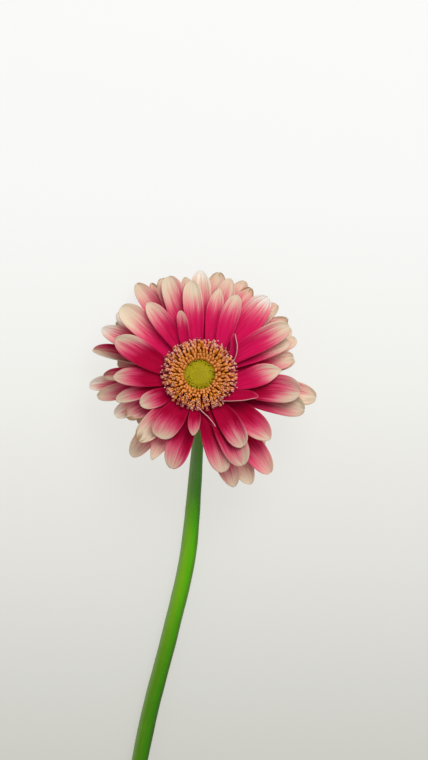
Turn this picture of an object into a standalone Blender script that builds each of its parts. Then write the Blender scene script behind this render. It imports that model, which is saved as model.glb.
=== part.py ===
"""A cut gerbera lying face up on a surface, its stem along the surface behind it.

Metres, +Z up. The origin is on the surface, under the stem, at the spot where the neck starts to
lift into the head. The head leans away from the stem, towards +Y, and the stem runs towards -Y.
The head's own pieces are modelled upright round the head's axis and parented to one empty, which
sets the lean: there, height 0 is the top of the calyx and azimuth 0 is +X.
"""

import math

import bmesh
import bpy
from mathutils import Matrix, Vector

MM = 0.001

# The stem: half its width along its length, and its route seen from above, in mm, from the start
# of the neck back.
STEM_SIDES = 12
NECK_HALF = 2.6 * MM
STEM_HALF = 3.75 * MM
CUT_HALF = 3.6 * MM
STEM_ROUTE = ((0, 4), (-2.1, -25), (-5.6, -60), (-14, -96), (-23.4, -133), (-32, -178), (-40, -233), (-44, -298))
STEPS_PER_SPAN = 5

# The neck: it bends up out of the stem until it points along the head's axis.
HEAD_LEAN = math.radians(15)
LEAN_AZIMUTH = math.radians(89.5)
NECK_BEND = 14.95 * MM
NECK_STEPS = 7

SEAT_GAP = 0.3 * MM  # between two pieces that grow against each other

# The calyx: a cup of green bracts round a core that carries the petals and the florets.
CALYX_DEPTH = 9.5 * MM
CALYX_RADIUS = 13.0 * MM
RIM_DROP = 1.0 * MM  # of the cup's rim below the core's foot
CORE_RADIUS = 8.4 * MM
CORE_TOP = 8.1 * MM
BRACT_THICK = 0.8 * MM
BRACT_WIDTH = 2.7 * MM
# Each row of bracts: how many, and the share of the cup's side where they start and end.
BRACT_ROWS = ((12, 0.05, 0.62), (14, 0.22, 0.88), (16, 0.42, 0.98))

# The petals: a blade's thickness, and how far across and along it is divided.
BLADE_THICK = 0.7 * MM
BLADE_ACROSS = 2
BLADE_STATIONS = (0, 0.25, 0.5, 0.72, 0.89, 1.0)
WIDEST_AT = 0.62
ROOT_SHARE = 0.56
TIP_SHARE = 0.2
CHANNEL = 0.13  # how deep a blade is hollowed across, as a share of its width

# The rows of petals, from the calyx up. A row: the height and radius of its roots, and how steeply
# its blades leave the head and arrive at their tips, in degrees above the plane of the head.
ROWS = {
    "lowest": (0.95, 11.6, -3, -27),
    "low": (1.75, 11.6, 3, -25),
    "middle": (3.25, 10.9, 9, -18),
    "high": (4.75, 10.2, 14, -12),
    "highest": (5.75, 10.2, 19, -8),
    "inner": (7.15, 9.7, 17, 18),
}

# Each petal: the direction in degrees and distance in mm of its tip from the green centre, as seen
# from straight above, and its width in mm. Then how many degrees its root is turned from its tip,
# its roll, and how much more steeply than its row it ends, in degrees.
PETALS = {
    "lowest": (
        (8, 43, 8.5, 0, 0, 0),
        (26, 46, 8.5, 0, 0, 0),
        (50, 43, 8.5, 0, 0, -7),
        (98, 44, 8.5, 0, 0, 0),
        (118.2, 46.5, 7, 0, 0, 0),
        (148, 44, 8.5, 0, 0, 0),
        (172, 37, 8, 0, 0, 0),
        (185.8, 49.5, 9, 0, 0, 0),
        (218, 35, 8, 0, 0, 0),
        (243, 38, 8, 0, 0, 0),
        (295, 54, 10, 0, 0, 0),
        (312, 43, 8, 0, 0, 0),
        (337, 38, 8, 0, 0, 0),
    ),
    "low": (
        (20, 46.5, 9, 0, 0, 0),
        (64.6, 47, 9, 0, 0, 0),
        (79.3, 46.9, 9.5, 0, 0, 0),
        (125, 50, 9.5, 0, 0, 0),
        (143.5, 46.5, 8.5, 0, 0, 0),
        (167, 49, 9.5, 0, 0, 0),
        (192.5, 47, 8, 0, 0, 0),
        (206, 42, 8, 0, 0, 0),
        (230.3, 47.5, 10, 0, 0, 0),
        (287.3, 52.6, 11.2, 0, 0, 0),
        (305.5, 54.3, 11, 0, 0, 0),
        (348.4, 53.3, 10.8, 0, 0, 0),
    ),
    "middle": (
        (10, 42.8, 9.5, 0, 0, 0),
        (32.5, 47, 9, 0, 0, 0),
        (42.2, 46.8, 8.5, 0, 0, 0),
        (59.3, 45.4, 8, 0, 0, 0),
        (72.4, 45.6, 9.3, 0, 0, 0),
        (89.5, 46.8, 10, 0, 0, 0),
        (111.3, 46.5, 9.3, 0, 0, 0),
        (155, 48.3, 9.5, 0, 0, 0),
        (181, 43, 8, 0, 0, 0),
        (210.3, 37.6, 9, 0, 0, 0),
        (240.6, 43.6, 9, 0, 0, 0),
        (341, 49.5, 12, -10, 0, 0),
    ),
    "high": (
        (20, 42.5, 9, 0, 0, 0),
        (48.2, 46.2, 13, 0, 0, 0),
        (76.8, 39.4, 7.8, -8, 0, 0),
        (107.8, 46.2, 10.5, 0, 0, 0),
        (139.3, 46.3, 12, 0, 0, 0),
        (197, 39, 6.6, 0, 0, 0),
        (227.6, 40.3, 10, 0, 0, 0),
        (253.6, 43.6, 11.2, 3, 0, 0),
        (283.7, 44.7, 11, -4, 0, 0),
        (295.4, 44.8, 12.3, 0, 0, 0),
        (317.4, 42.6, 11.5, 0, 0, 0),
        (350.2, 45.6, 13.3, -8, 0, 0),
    ),
    "highest": (
        (2.5, 36.5, 9.8, -26, 0, 0),
        (28.2, 45.6, 10, 0, 0, 0),
        (64.1, 39.2, 8.4, -16, 0, 0),
        (95.2, 41.9, 9, 0, 0, 0),
        (126, 39.5, 8.8, 0, 0, 0),
        (158, 40.6, 12, 14, 0, 0),
        (181.5, 38.6, 9.5, 8, 0, 0),
        (207.3, 29.6, 8.5, 6, 0, 0),
        (236.5, 33.4, 12.5, 2, 0, 0),
        (301.2, 37.3, 10.3, 0, 0, 0),
    ),
    "inner": (
        (338.6, 28, 7.4, -34, -15, 0),
        (285.6, 24.2, 3.4, -24, 34, 18),
        (264, 27, 5.9, -2, 0, 0),
        (107, 29.5, 5.4, 14, 0, 0),
        (48.5, 24, 5.2, -60, -12, 0),
    ),
}

# The nodes that hold the rows: the rows they hold, and their root ring's bottom, top and outer radius.
PETAL_NODES = {
    "petals_back": (("lowest", "low"), 0.3, 2.35, 12.9),
    "petals_middle": (("middle",), 2.65, 3.85, 12.1),
    "petals_front": (("high", "highest"), 4.15, 6.4, 11.3),
    "petals_inner": (("inner",), 6.7, 7.6, 10.7),
}
RING_INNER = CORE_RADIUS + SEAT_GAP
RING_STEPS = 32

# The florets: rings of small tubes round the green centre. A ring: how many, the radius and height
# of their feet, how far they lean out in degrees, and their length.
FLORET_RINGS = (
    (22, 8.6, 9.7, 12, 3.2),
    (26, 9.5, 9.7, 24, 4.2),
    (30, 10.3, 9.6, 38, 5.0),
    (34, 10.7, 9.4, 53, 5.6),
)
FLORET_RADIUS = 0.62 * MM
FLORET_SUNK = 1.0 * MM
DISC_HEIGHT = 10  # of the disc's middle, in mm
CENTRE_RADIUS = 7.1 * MM
CENTRE_RINGS = 8
CENTRE_STEPS = 32
BUD_HEIGHT = 0.35 * MM


def clear_scene():
    for old in list(bpy.data.objects):
        bpy.data.objects.remove(old)


def material(name, colour, roughness):
    made = bpy.data.materials.new(name)
    made.use_nodes = True
    shader = made.node_tree.nodes["Principled BSDF"]
    shader.inputs["Base Color"].default_value = (*colour, 1)
    shader.inputs["Roughness"].default_value = roughness
    shader.inputs["Metallic"].default_value = 0
    return made


def to_object(bm, name, finish=None, parent=None):
    mesh = bpy.data.meshes.new(name)
    bm.to_mesh(mesh)
    bm.free()
    made = bpy.data.objects.new(name, mesh)
    bpy.context.scene.collection.objects.link(made)
    made.parent = parent
    if finish:
        mesh.materials.append(finish)
    return made


def fuse(base, repeats):
    """Joins the repeats to base in one Boolean union, and removes them."""
    joined = bpy.data.collections.new(base.name + "_repeats")
    bpy.context.scene.collection.children.link(joined)
    for piece in repeats:
        bpy.context.scene.collection.objects.unlink(piece)
        joined.objects.link(piece)
    union = base.modifiers.new("Fuse", "BOOLEAN")
    union.operation = "UNION"
    union.operand_type = "COLLECTION"
    union.collection = joined
    union.solver = "MANIFOLD"
    bpy.context.view_layer.objects.active = base
    bpy.ops.object.modifier_apply(modifier=union.name)
    for piece in repeats:
        bpy.data.objects.remove(piece)
    bpy.data.collections.remove(joined)


def smoothly(x):
    """0 below 0, 1 above 1, and an even S between."""
    x = min(max(x, 0.0), 1.0)
    return x * x * (3 - 2 * x)


# ---------------------------------------------------------------- the head's place

LEAN_WAY = Vector((math.cos(LEAN_AZIMUTH), math.sin(LEAN_AZIMUTH), 0))
UP = Vector((0, 0, 1))
HEAD_TURN = Matrix.Rotation(HEAD_LEAN, 4, UP.cross(LEAN_WAY))
HEAD_AXIS = HEAD_TURN @ UP


def neck_point(turned):
    """The neck's centre line, where it has turned this far up from the surface."""
    along = NECK_BEND * math.sin(turned)
    up = NECK_BEND * (1 - math.cos(turned))
    return Vector((*STEM_ROUTE[0], 0)) * MM + LEAN_WAY * along + UP * (NECK_HALF + up)


NECK_TURN = math.pi / 2 - HEAD_LEAN
NECK_END = neck_point(NECK_TURN)
HEAD_CENTRE = NECK_END + HEAD_AXIS * (CALYX_DEPTH + SEAT_GAP)


# ---------------------------------------------------------------- stem


def route_point(span, share):
    """A point of the smooth curve through STEM_ROUTE."""
    last = len(STEM_ROUTE) - 1
    first = Vector(STEM_ROUTE[span])
    second = Vector(STEM_ROUTE[span + 1])
    before = Vector(STEM_ROUTE[span - 1]) if span else first * 2 - second
    after = Vector(STEM_ROUTE[span + 2]) if span + 2 <= last else second * 2 - first
    t = share
    point = first * 2 + (second - before) * t
    point += (before * 2 - first * 5 + second * 4 - after) * t**2
    point += (first * 3 - before - second * 3 + after) * t**3
    return point * 0.5 * MM


def stem_half(share):
    """Half the stem's width at a share of the way from the neck to the cut."""
    swell = NECK_HALF + (STEM_HALF - NECK_HALF) * smoothly(share / 0.3)
    return swell + (CUT_HALF - STEM_HALF) * smoothly((share - 0.5) / 0.5)


def stem_stations():
    """(centre, direction of growth, half width) from the cut end to the calyx."""
    spans = len(STEM_ROUTE) - 1
    flat = [route_point(i // STEPS_PER_SPAN, i % STEPS_PER_SPAN / STEPS_PER_SPAN) for i in range(spans * STEPS_PER_SPAN)]
    flat.append(route_point(spans - 1, 1.0))
    stations = []
    for i in reversed(range(1, len(flat))):
        share = i / (len(flat) - 1)
        half = stem_half(share)
        grows = flat[i - 1] - flat[min(i + 1, len(flat) - 1)]
        centre = Vector((*flat[i], half))
        stations.append((centre, Vector((*grows, 0)).normalized(), half))
    for step in range(NECK_STEPS + 1):
        turned = NECK_TURN * step / NECK_STEPS
        grows = LEAN_WAY * math.cos(turned) + UP * math.sin(turned)
        stations.append((neck_point(turned), grows, NECK_HALF))
    return stations


def stem_ring(centre, grows, half):
    """Moves a unit ring, flat side down, across the stem at a station."""
    aside = grows.cross(UP) if abs(grows.z) < 0.999 else Vector((1, 0, 0))
    aside.normalize()
    over = aside.cross(grows)
    radius = half / math.cos(math.pi / STEM_SIDES)
    turn = Matrix((aside, over, grows)).transposed().to_4x4()
    return Matrix.Translation(centre) @ turn @ Matrix.Scale(radius, 4)


def build_stem(finish):
    bm = bmesh.new()
    stations = [stem_ring(*station) for station in stem_stations()]
    half_side = Matrix.Rotation(math.pi / STEM_SIDES, 4, "Z")
    bmesh.ops.create_circle(bm, cap_ends=True, radius=1, segments=STEM_SIDES, matrix=stations[0] @ half_side)
    end = bm.verts[:] + bm.edges[:] + bm.faces[:]
    for before, here in zip(stations, stations[1:]):
        end = bmesh.ops.extrude_face_region(bm, geom=end)["geom"]
        moved = [v for v in end if isinstance(v, bmesh.types.BMVert)]
        bmesh.ops.transform(bm, matrix=here @ before.inverted(), verts=moved)
    bmesh.ops.recalc_face_normals(bm, faces=bm.faces)
    to_object(bm, "stem", finish)


# ---------------------------------------------------------------- turned bodies


def turned_body(profile, steps):
    """A closed outline of (radius, height) in mm, turned round the head's axis."""
    bm = bmesh.new()
    ring = [bm.verts.new((r * MM, 0, h * MM)) for r, h in profile]
    edges = [bm.edges.new((a, b)) for a, b in zip(ring, ring[1:] + ring[:1])]
    bmesh.ops.spin(
        bm, geom=ring + edges, axis=UP, cent=(0, 0, 0), angle=math.tau, steps=steps, use_merge=True
    )
    bmesh.ops.remove_doubles(bm, verts=bm.verts, dist=0.01 * MM)
    bmesh.ops.recalc_face_normals(bm, faces=bm.faces)
    return bm


def turned_solid(profile, steps):
    """As turned_body, for an outline that starts and ends on the axis."""
    bm = bmesh.new()
    points = [bm.verts.new((r * MM, 0, h * MM)) for r, h in profile]
    edges = [bm.edges.new((a, b)) for a, b in zip(points, points[1:])]
    bmesh.ops.spin(
        bm, geom=points + edges, axis=UP, cent=(0, 0, 0), angle=math.tau, steps=steps, use_merge=True
    )
    bmesh.ops.remove_doubles(bm, verts=bm.verts, dist=0.01 * MM)
    bmesh.ops.recalc_face_normals(bm, faces=bm.faces)
    return bm


# ---------------------------------------------------------------- calyx


def cup_side(share):
    """(radius, height) of the cup's outside, from its foot at 0 to its rim at 1."""
    foot = NECK_HALF * 1.25
    radius = foot + (CALYX_RADIUS - foot) * math.sin(share * math.pi / 2) ** 0.8
    return radius, (CALYX_DEPTH - RIM_DROP) * share**1.25 - CALYX_DEPTH


def bract(azimuth, start, end):
    """One pointed bract, lying on the cup's side and a little proud of it."""
    bm = bmesh.new()
    stations = (0.0, 0.55, 0.85, 1.0)
    shares = (0.8, 1.0, 0.62, 0.1)
    bmesh.ops.create_grid(bm, x_segments=1, y_segments=len(stations) - 1, size=1)
    for v in bm.verts:
        row = round((v.co.y + 1) / 2 * (len(stations) - 1))
        share = start + (end - start) * stations[row]
        radius, height = cup_side(min(share, 1.0))
        beyond = max(share - 1.0, 0) * CALYX_DEPTH
        out = 0.15 * MM + 0.45 * MM * stations[row]
        across = v.co.x * BRACT_WIDTH / 2 * shares[row]
        v.co = (radius + out + beyond * 0.75, across, height - out + beyond * 0.1)
    bmesh.ops.triangulate(bm, faces=bm.faces)
    bm.normal_update()
    bmesh.ops.solidify(bm, geom=bm.faces, thickness=BRACT_THICK)
    bmesh.ops.recalc_face_normals(bm, faces=bm.faces)
    bmesh.ops.rotate(bm, verts=bm.verts, matrix=Matrix.Rotation(azimuth, 3, "Z"))
    return bm


def build_calyx(finish, head):
    steps = 7
    side = [cup_side(i / steps) for i in range(steps + 1)]
    profile = [(0, -CALYX_DEPTH / MM)]
    profile += [(r / MM, h / MM) for r, h in side]
    profile += [(CORE_RADIUS / MM, 0), (CORE_RADIUS / MM, CORE_TOP / MM - 0.6)]
    profile += [(CORE_RADIUS / MM - 1.2, CORE_TOP / MM), (0, CORE_TOP / MM)]
    calyx = to_object(turned_solid(profile, 28), "calyx", finish, head)
    bracts = []
    for row, (count, start, end) in enumerate(BRACT_ROWS):
        for i in range(count):
            azimuth = math.tau * (i + 0.5 * (row % 2)) / count + row
            bracts.append(to_object(bract(azimuth, start, end), "bract", finish, head))
    fuse(calyx, bracts)


# ---------------------------------------------------------------- petals


def petal_width(share):
    """The blade's width at a share of its length, as a share of its greatest width."""
    grown = ROOT_SHARE + (1 - ROOT_SHARE) * smoothly(share / WIDEST_AT)
    closing = max(0.0, (share - WIDEST_AT) / (1 - WIDEST_AT))
    return max(grown * (1 - closing**2.4) ** 0.7, TIP_SHARE if closing else 0)


def spine_height(row, steeper, reach, share):
    """The height in mm of a blade's middle line, at a share of the way to a tip at this reach."""
    height, root, leaves, arrives = ROWS[row]
    start = math.tan(math.radians(leaves))
    end = math.tan(math.radians(arrives + steeper))
    return height + (reach - root) * (start * share + (end - start) * share**2 / 2)


def tip_place(row, petal):
    """(azimuth, reach) on the leaning head of a tip that is listed as seen from above."""
    direction, distance, _, _, _, steeper = petal
    aside = distance * math.cos(math.radians(direction))
    ahead = distance * math.sin(math.radians(direction))
    reach = distance
    for _ in range(5):
        below = DISC_HEIGHT - spine_height(row, steeper, reach, 1)
        out = (ahead + below * math.sin(HEAD_LEAN)) / math.cos(HEAD_LEAN)
        reach = math.hypot(aside, out)
    return math.atan2(out, aside), reach


def petal_spine(row, petal, share):
    """The middle line of a blade."""
    azimuth, reach = tip_place(row, petal)
    root = ROWS[row][1]
    angle = azimuth + math.radians(petal[3]) * (1 - share) ** 2
    out = root + (reach - root) * share
    height = spine_height(row, petal[5], reach, share)
    return Vector((out * math.cos(angle), out * math.sin(angle), height)) * MM


def petal_point(row, petal, across, share):
    """A point of the blade's middle surface, with across from -1 to 1 and share from root to tip."""
    here = petal_spine(row, petal, share)
    along = petal_spine(row, petal, share + 0.01) - petal_spine(row, petal, share - 0.01)
    along.normalize()
    aside = UP.cross(along).normalized()
    rolled = Matrix.Rotation(math.radians(petal[4]) * smoothly(share / 0.3), 3, along)
    aside = rolled @ aside
    face = along.cross(aside)
    width = petal[2] * MM * petal_width(share)
    lift = CHANNEL * width * (across**2 - 0.35) * smoothly(share / 0.35)
    return here + aside * (across * width / 2) + face * lift


def petal_blade(row, petal):
    bm = bmesh.new()
    rows = len(BLADE_STATIONS) - 1
    bmesh.ops.create_grid(bm, x_segments=BLADE_ACROSS, y_segments=rows, size=1)
    for v in bm.verts:
        share = BLADE_STATIONS[round((v.co.y + 1) / 2 * rows)]
        v.co = petal_point(row, petal, -v.co.x, share)
    bmesh.ops.triangulate(bm, faces=bm.faces)
    bm.normal_update()
    for v in bm.verts:
        v.co += v.normal * BLADE_THICK / 2
    bmesh.ops.solidify(bm, geom=bm.faces, thickness=BLADE_THICK)
    bmesh.ops.recalc_face_normals(bm, faces=bm.faces)
    return bm


def build_petals(name, finish, head):
    rows, bottom, top, outer = PETAL_NODES[name]
    inner = RING_INNER / MM
    profile = ((inner, bottom), (outer, bottom), (outer, top), (inner, top))
    base = to_object(turned_body(profile, RING_STEPS), name, finish, head)
    blades = [to_object(petal_blade(row, petal), "blade", finish, head) for row in rows for petal in PETALS[row]]
    fuse(base, blades)


# ---------------------------------------------------------------- florets


def floret(azimuth, foot, height, lean, length):
    """One small tube, three-sided, with its foot sunk in the ring below."""
    bm = bmesh.new()
    whole = length * MM + FLORET_SUNK
    place = Matrix.Rotation(azimuth, 4, "Z")
    place @= Matrix.Translation((foot * MM, 0, height * MM))
    place @= Matrix.Rotation(math.radians(lean), 4, "Y")
    place @= Matrix.Translation((0, 0, whole / 2 - FLORET_SUNK))
    bmesh.ops.create_cone(
        bm,
        cap_ends=True,
        segments=3,
        radius1=FLORET_RADIUS * 0.8,
        radius2=FLORET_RADIUS,
        depth=whole,
        matrix=place,
    )
    return bm


def build_florets(finish, head):
    """A low collar with the tubes standing out of it."""
    seat = CORE_TOP / MM
    collar = ((7.8, seat + 0.3), (10.9, 8.5), (11.7, 9.0), (11.2, 9.7), (10.2, 10.3), (8.6, 10.4), (7.8, 9.9))
    ring = to_object(turned_body(collar, RING_STEPS), "floret_ring", finish, head)
    tubes = []
    for number, (count, foot, height, lean, length) in enumerate(FLORET_RINGS):
        for i in range(count):
            azimuth = math.tau * (i + 0.5 * (number % 2)) / count
            tubes.append(to_object(floret(azimuth, foot, height, lean, length), "tube", finish, head))
    fuse(ring, tubes)


def build_centre(finish, head):
    """The unopened florets: a low dome whose surface is raised into staggered buds."""
    seat = (CORE_TOP + SEAT_GAP) / MM
    radius = CENTRE_RADIUS / MM
    profile = [(0, seat), (radius, seat)]
    for i in range(CENTRE_RINGS + 1):
        share = 1 - i / CENTRE_RINGS
        profile.append((radius * share, seat + 1.0 + 1.2 * (1 - share**2)))
    bm = turned_solid(profile, CENTRE_STEPS)
    for v in bm.verts:
        out = math.hypot(v.co.x, v.co.y)
        if v.co.z < (seat + 0.5) * MM or out < 0.1 * MM:
            continue
        ring = round(out / CENTRE_RADIUS * CENTRE_RINGS)
        step = round(math.atan2(v.co.y, v.co.x) / math.tau * CENTRE_STEPS)
        v.co.z += BUD_HEIGHT if (ring + step) % 2 else -BUD_HEIGHT
    to_object(bm, "disc_centre", finish, head)


# ---------------------------------------------------------------- the whole flower


def main():
    clear_scene()
    stem_green = material("stem_green", (0.10, 0.30, 0.02), 0.45)
    calyx_green = material("calyx_green", (0.13, 0.24, 0.05), 0.55)
    petal_pink = material("petal_pink", (0.60, 0.02, 0.10), 0.5)
    floret_orange = material("floret_orange", (0.70, 0.28, 0.05), 0.5)
    centre_green = material("centre_green", (0.38, 0.36, 0.01), 0.5)

    head = bpy.data.objects.new("head", None)
    bpy.context.scene.collection.objects.link(head)
    head.matrix_world = Matrix.Translation(HEAD_CENTRE) @ HEAD_TURN

    build_stem(stem_green)
    build_calyx(calyx_green, head)
    for name in PETAL_NODES:
        build_petals(name, petal_pink, head)
    build_florets(floret_orange, head)
    build_centre(centre_green, head)


main()
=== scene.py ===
# %% [markdown]
# # A cut gerbera, laid face up
#
# A gerbera is not one flower but a head of many. The middle is a disc of tiny tubular flowers called
# florets, and every "petal" is the long strap of one floret at the disc's edge. This lesson dresses a
# plain solid model of one: petals with veins and faded tips, a disc of open and closed florets, a cup
# of green bracts under the head, and a ribbed, hairy stem.
#
# We start from the solid model, which fixes where everything is.

# %% Load the solid model
import math
import random

import bmesh
import bpy
from mathutils import Matrix, Vector, noise


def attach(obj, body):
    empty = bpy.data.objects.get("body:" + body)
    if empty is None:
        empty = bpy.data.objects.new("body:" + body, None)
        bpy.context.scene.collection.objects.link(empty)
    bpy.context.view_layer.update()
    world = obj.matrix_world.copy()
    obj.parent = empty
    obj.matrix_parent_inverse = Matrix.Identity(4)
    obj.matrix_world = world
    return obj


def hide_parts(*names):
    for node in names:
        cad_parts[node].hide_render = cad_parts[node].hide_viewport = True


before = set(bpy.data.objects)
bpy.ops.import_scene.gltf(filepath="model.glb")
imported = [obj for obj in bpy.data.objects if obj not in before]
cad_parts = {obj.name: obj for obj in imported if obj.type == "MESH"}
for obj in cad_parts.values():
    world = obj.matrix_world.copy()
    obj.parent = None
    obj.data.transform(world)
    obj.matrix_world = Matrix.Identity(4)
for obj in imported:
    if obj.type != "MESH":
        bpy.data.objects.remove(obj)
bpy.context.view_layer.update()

MM = 0.001
UP = Vector((0, 0, 1))
random.seed(11)
print("solid nodes:", sorted(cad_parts))

# %% [markdown]
# ## Finishes: a small language for shader maths
#
# A petal's colour depends on how far along and across it we are. In Blender's shader editor that takes
# dozens of Math nodes, wired by hand. The same thing is easier to read as a formula, so `Wire` wraps one
# node output and turns `+`, `*` and the rest into Math nodes. `Finish` makes one material, and its
# `node` method adds any other node: its kind, its settings, then what goes into its sockets.


# %% Wires and finishes
class Wire:
    """A value or colour on its way from one node to the next."""

    def __init__(self, finish, socket):
        self.finish = finish
        self.socket = socket

    def maths(self, operation, first, second=0.0):
        return self.finish.node("Math", {"operation": operation}, {0: first, 1: second})

    def __add__(self, other):
        return self.maths("ADD", self, other)

    def __radd__(self, other):
        return self.maths("ADD", other, self)

    def __sub__(self, other):
        return self.maths("SUBTRACT", self, other)

    def __rsub__(self, other):
        return self.maths("SUBTRACT", other, self)

    def __mul__(self, other):
        return self.maths("MULTIPLY", self, other)

    def __rmul__(self, other):
        return self.maths("MULTIPLY", other, self)

    def __truediv__(self, other):
        return self.maths("DIVIDE", self, other)

    def __abs__(self):
        return self.maths("ABSOLUTE", self)

    def between(self, low, high):
        """0 below low, 1 above high, and an even S in between."""
        settings = {"interpolation_type": "SMOOTHSTEP"}
        return self.finish.node("MapRange", settings, {"Value": self, "From Min": low, "From Max": high})


class Finish:
    """A material whose constant values are set straight on its shader."""

    def __init__(self, name, **constants):
        self.material = bpy.data.materials.new(name)
        self.material.use_nodes = True
        self.tree = self.material.node_tree
        self.shader = self.tree.nodes["Principled BSDF"]
        for socket, value in constants.items():
            self.shader.inputs[socket.replace("_", " ").title().replace("Ior", "IOR")].default_value = value

    def node(self, kind, settings=None, inputs=None, output=0):
        """Adds any node: its kind, its settings, then the values or wires of its sockets."""
        made = self.tree.nodes.new("ShaderNode" + kind)
        for key, value in (settings or {}).items():
            if key == "stops":
                self.set_stops(made.color_ramp, value)
            else:
                setattr(made, key, value)
        for key, value in (inputs or {}).items():
            self.plug(made.inputs[key], value)
        return Wire(self, made.outputs[output])

    def plug(self, socket, value):
        if isinstance(value, Wire):
            self.tree.links.new(value.socket, socket)
        elif socket.type == "RGBA":
            socket.default_value = (*value, 1)
        else:
            socket.default_value = value

    def set_stops(self, ramp, stops):
        while len(ramp.elements) < len(stops):
            ramp.elements.new(1)
        for element, (position, colour) in zip(ramp.elements, stops):
            element.position = position
            element.color = (*colour, 1)

    def trait(self, name):
        """A number that each point of the piece carries, such as how far along its petal it is."""
        return self.node("Attribute", {"attribute_name": name}, output="Fac")

    def place(self, across, along, other=0.0):
        """A vector of three values, to look a pattern up with."""
        return self.node("CombineXYZ", None, {"X": across, "Y": along, "Z": other})

    def object_place(self):
        return self.node("TexCoord", output="Object")

    def clouds(self, place, scale, detail=2.0, roughness=0.5):
        inputs = {"Vector": place, "Scale": scale, "Detail": detail, "Roughness": roughness}
        return self.node("TexNoise", None, inputs)

    def blend(self, share, first, second):
        """The first colour where share is 0, the second where it is 1."""
        return self.node("Mix", {"data_type": "RGBA"}, {0: share, 6: first, 7: second}, 2)

    def tint(self, share, colour, by):
        """Multiplies a colour by another, as a thin wash of paint does."""
        settings = {"data_type": "RGBA", "blend_type": "MULTIPLY"}
        return self.node("Mix", settings, {0: share, 6: colour, 7: by}, 2)

    def ramp(self, value, stops):
        return self.node("ValToRGB", {"stops": stops}, {"Fac": value})

    def wear(self, colour=None, roughness=None, height=None, depth=0.0001):
        """Connects what the finish has worked out to the shader."""
        if colour is not None:
            self.plug(self.shader.inputs["Base Color"], colour)
        if roughness is not None:
            self.plug(self.shader.inputs["Roughness"], roughness)
        if height is not None:
            bump = self.node("Bump", None, {"Strength": 1.0, "Distance": depth, "Height": height})
            self.plug(self.shader.inputs["Normal"], bump)
        return self.material


print("finishes can now be written as formulas")

# %% [markdown]
# ## Where the head is
#
# The stem lies on the table, then its neck bends up and carries the head, which leans a little away from
# the stem. Every petal and floret is easiest to describe on an upright head, where height 0 is the top
# of the green cup and azimuth 0 is +X. One matrix then sets them all in place. Its numbers are those of
# the solid model's neck.

# %% The head's place
HEAD_LEAN = math.radians(15)
LEAN_WAY = Vector((math.cos(math.radians(89.5)), math.sin(math.radians(89.5)), 0))
NECK_START = Vector((0, 4 * MM, 0))
NECK_HALF = 2.6 * MM
NECK_BEND = 14.95 * MM
CALYX_DEPTH = 9.5 * MM
SEAT_GAP = 0.3 * MM


def neck_point(turned):
    """The neck's centre line, where it has turned this far up from the table."""
    along = LEAN_WAY * NECK_BEND * math.sin(turned)
    return NECK_START + along + UP * (NECK_HALF + NECK_BEND * (1 - math.cos(turned)))


NECK_TURN = math.pi / 2 - HEAD_LEAN
HEAD_TURN = Matrix.Rotation(HEAD_LEAN, 4, UP.cross(LEAN_WAY))
HEAD_CENTRE = neck_point(NECK_TURN) + HEAD_TURN @ UP * (CALYX_DEPTH + SEAT_GAP)
HEAD = Matrix.Translation(HEAD_CENTRE) @ HEAD_TURN
print("head centre, mm:", [round(c / MM, 1) for c in HEAD_CENTRE])


def smoothly(x):
    """0 below 0, 1 above 1, and an even S between."""
    x = min(max(x, 0.0), 1.0)
    return x * x * (3 - 2 * x)


def polar(radius, azimuth, height):
    return Vector((radius * math.cos(azimuth), radius * math.sin(azimuth), height))


# %% [markdown]
# ## From a bmesh to a piece
#
# Every piece goes through the same last steps: its mesh is set on the head, shaded smooth, given its
# finish and tied to the body it moves with, and the plain solid it stands in for is hidden. The object
# itself stays at the origin, with its place in its mesh, so a pattern on its coordinates never slides.


# %% Finishing a piece
def to_piece(bm, name, material, stands_for, place=None):
    """Turns a bmesh into a finished piece that stands in for a solid node."""
    if place is not None:
        bmesh.ops.transform(bm, matrix=place, verts=bm.verts)
    for face in bm.faces:
        face.smooth = True
    mesh = bpy.data.meshes.new(name)
    bm.to_mesh(mesh)
    bm.free()
    mesh.materials.append(material)
    piece = bpy.data.objects.new(name, mesh)
    bpy.context.scene.collection.objects.link(piece)
    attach(piece, "root")
    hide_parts(stands_for)
    print(name, "has", len(mesh.polygons), "faces")


def new_mesh(*traits):
    """An empty bmesh whose vertices can carry these numbers, for the finishes to read."""
    bm = bmesh.new()
    for name in traits:
        bm.verts.layers.float.new(name)
    return bm


def set_trait(bm, verts, **traits):
    """Writes numbers on vertices: each trait is one value for all, or a function of the vertex."""
    for name, value in traits.items():
        layer = bm.verts.layers.float[name]
        for v in verts:
            v[layer] = value(v) if callable(value) else value


# %% [markdown]
# ## Petals
#
# A gerbera's petal is a long strap, a little hollowed along its middle, with fine ribs from root to tip
# and three tiny teeth at the end. It could be a flat picture on a card, but a card has no thickness and
# no ribs. Instead each one is a fine grid, bent along a curved spine and then thickened with a wall.
#
# Petals grow in rows. Each row has its own height, root radius, and slope at root and tip; each petal
# then lists where its tip is as seen from straight above, how wide it is, how its root is turned, how it
# rolls, and how much steeper than its row it ends. These are the solid model's own numbers, so the fine
# petals follow the plain ones.

# %% The rows and their petals
# A row: height and radius of its roots in mm, then the slopes at root and tip in degrees.
ROWS = {
    "lowest": (0.95, 11.6, -3, -27),
    "low": (1.75, 11.6, 3, -25),
    "middle": (3.25, 10.9, 9, -18),
    "high": (4.75, 10.2, 14, -12),
    "highest": (5.75, 10.2, 19, -8),
    "inner": (7.15, 9.7, 17, 18),
}
ROW_NODES = {
    "lowest": "petals_back",
    "low": "petals_back",
    "middle": "petals_middle",
    "high": "petals_front",
    "highest": "petals_front",
    "inner": "petals_inner",
}
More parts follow.
